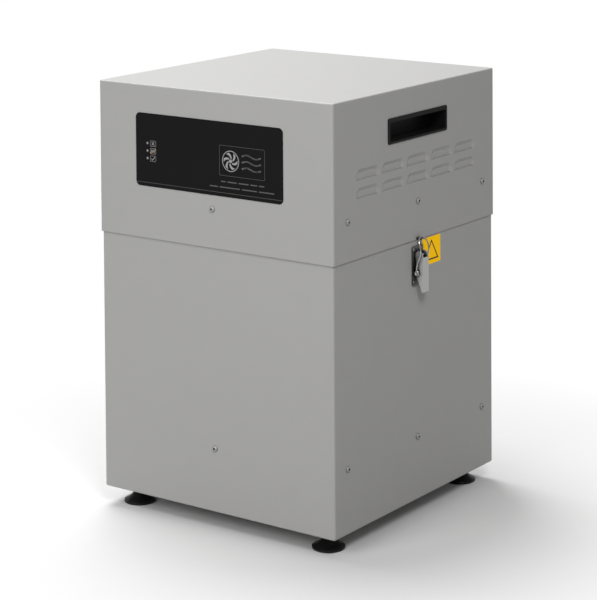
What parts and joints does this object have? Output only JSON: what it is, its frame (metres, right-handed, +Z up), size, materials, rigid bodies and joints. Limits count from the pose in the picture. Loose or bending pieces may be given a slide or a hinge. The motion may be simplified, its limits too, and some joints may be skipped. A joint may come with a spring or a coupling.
{
  "type": "solder fume extractor",
  "caption": "Floor-standing solder fume extractor: steel filter cabinet on levelling feet with a lift-off blower head held by toggle latches.",
  "frame": {"origin": "on the floor, under the middle of the cabinet", "axes": "+Z up, +X to the operator's right, -Y towards the operator; the hose spigot points to +Y"},
  "size_m": [0.372, 0.4007, 0.526],
  "materials": {
    "grey_paint": "fine textured powder coat",
    "inner_paint": "powder coat",
    "black_membrane": "satin printed polyester",
    "black_moulding": "fine moulded grain",
    "black_gloss": "polished moulded plastic",
    "zinc_plate": "zinc plated, lightly brushed",
    "dark_zinc": "dark passivated zinc",
    "bright_steel": "nickel plated wire",
    "screw_steel": "plated screw",
    "label_yellow": "printed vinyl",
    "gasket_foam": "closed-cell foam",
    "grey_foam": "open-cell acoustic foam",
    "filter_paper": "pleated glass-fibre paper",
    "prefilter_felt": "pleated synthetic felt",
    "carbon_granules": "loose activated carbon",
    "strap_webbing": "woven webbing",
    "galvanised": "galvanised sheet",
    "cast_alloy": "die cast",
    "white_nylon": "moulded glass-filled nylon",
    "motor_iron": "laminated iron",
    "board_green": "solder resist",
    "lamp_lens": "frosted clear plastic",
    "brass": "bright",
    "fuse_glass": "clear glass",
    "mount_rubber": "natural rubber"
  },
  "bodies": {
    "cabinet": {"cabinet_shell": "grey_paint", "foot_weld_nuts": "zinc_plate", "foot_lock_nuts": "zinc_plate", "filter_shelf": "galvanised", "cabinet_screws": "screw_steel", "shelf_gasket": "gasket_foam", "inlet_gasket": "gasket_foam", "inlet_spigot": "black_moulding", "latch_bases": "dark_zinc", "latch_rivets": "dark_zinc", "latch_pins": "zinc_plate", "latch_labels": "label_yellow"},
    "head": {"head_cover": "grey_paint", "control_overlay": "black_membrane", "status_lamps": "lamp_lens", "indicator_board": "board_green", "carry_handle_right": "black_moulding", "carry_handle_left": "black_moulding", "head_floor": "galvanised", "head_gasket": "gasket_foam", "head_screws": "screw_steel", "latch_keepers": "dark_zinc", "acoustic_foam": "grey_foam", "vibration_mounts": "mount_rubber", "blower_housing": "galvanised", "blower_lid": "galvanised", "blower_inlet_seal": "gasket_foam", "motor_can": "cast_alloy", "motor_stator": "motor_iron", "motor_bearings": "bright_steel", "power_inlet": "black_moulding", "power_blades": "bright_steel", "switch_housing": "black_moulding", "board_standoffs": "brass", "control_board": "board_green", "board_components": "black_gloss", "pressure_switch": "white_nylon", "sensing_tube": "mount_rubber", "wiring_loom": "black_moulding"},
    "rotor": {"impeller": "white_nylon", "motor_rotor": "motor_iron", "motor_shaft": "bright_steel"},
    "fuse_tray": {"fuse_drawer": "black_moulding", "fuses": "fuse_glass"},
    "rocker": {"switch_rocker": "black_gloss"},
    "filter": {"filter_case": "galvanised", "hepa_pleats": "filter_paper", "carbon_bed": "carbon_granules", "carbon_screens": "galvanised", "lift_strap": "strap_webbing"},
    "prefilter": {"prefilter_frame": "white_nylon", "prefilter_media": "prefilter_felt"},
    "lever_right": {"latch_lever_right": "zinc_plate"},
    "lever_left": {"latch_lever_left": "zinc_plate"},
    "bail_right": {"latch_bail_right": "bright_steel"},
    "bail_left": {"latch_bail_left": "bright_steel"},
    "foot_fl": {"foot_front_left": "black_gloss"},
    "foot_fr": {"foot_front_right": "black_gloss"},
    "foot_rl": {"foot_rear_left": "black_gloss"},
    "foot_rr": {"foot_rear_right": "black_gloss"}
  },
  "joints": [
    {"name": "head_lift", "type": "slide", "parent": "cabinet", "child": "head", "axis": [0, 0, 1], "range_m": [0, 0.4]},
    {"name": "filter_lift", "type": "slide", "parent": "cabinet", "child": "filter", "axis": [0, 0, 1], "range_m": [0, 0.33]},
    {"name": "prefilter_lift", "type": "slide", "parent": "cabinet", "child": "prefilter", "axis": [0, 0, 1], "range_m": [0, 0.27]},
    {"name": "latch_right", "type": "hinge", "parent": "cabinet", "child": "lever_right", "pos_m": [0.18005, 0, 0.321], "axis": [0, -1, 0], "range_deg": [0, 120]},
    {"name": "bail_right", "type": "hinge", "parent": "lever_right", "child": "bail_right", "pos_m": [0.1787, 0, 0.3], "axis": [0, -1, 0], "range_deg": [-140, 0]},
    {"name": "latch_left", "type": "hinge", "parent": "cabinet", "child": "lever_left", "pos_m": [-0.18005, 0, 0.321], "axis": [0, 1, 0], "range_deg": [0, 120]},
    {"name": "bail_left", "type": "hinge", "parent": "lever_left", "child": "bail_left", "pos_m": [-0.1787, 0, 0.3], "axis": [0, 1, 0], "range_deg": [-140, 0]},
    {"name": "blower_spin", "type": "hinge", "parent": "head", "child": "rotor", "pos_m": [0, 0, 0.44], "axis": [0, 0, 1], "continuous": true},
    {"name": "power_rocker", "type": "hinge", "parent": "head", "child": "rocker", "pos_m": [-0.045, 0.1725, 0.432], "axis": [-1, 0, 0], "range_deg": [0, 16]},
    {"name": "fuse_drawer_slide", "type": "slide", "parent": "head", "child": "fuse_tray", "axis": [0, 1, 0], "range_m": [0, 0.018]},
    {"name": "foot_fl_height", "type": "slide", "parent": "cabinet", "child": "foot_fl", "axis": [0, 0, -1], "range_m": [0, 0.018]},
    {"name": "foot_fr_height", "type": "slide", "parent": "cabinet", "child": "foot_fr", "axis": [0, 0, -1], "range_m": [0, 0.018]},
    {"name": "foot_rl_height", "type": "slide", "parent": "cabinet", "child": "foot_rl", "axis": [0, 0, -1], "range_m": [0, 0.018]},
    {"name": "foot_rr_height", "type": "slide", "parent": "cabinet", "child": "foot_rr", "axis": [0, 0, -1], "range_m": [0, 0.018]}
  ],
  "couplings": [
    {"joint": "filter_lift", "follows": "head_lift", "ratio": 0.825},
    {"joint": "prefilter_lift", "follows": "head_lift", "ratio": 0.675},
    {"joint": "bail_right", "follows": "latch_right", "ratio": -1.15},
    {"joint": "bail_left", "follows": "latch_left", "ratio": -1.15}
  ]
}
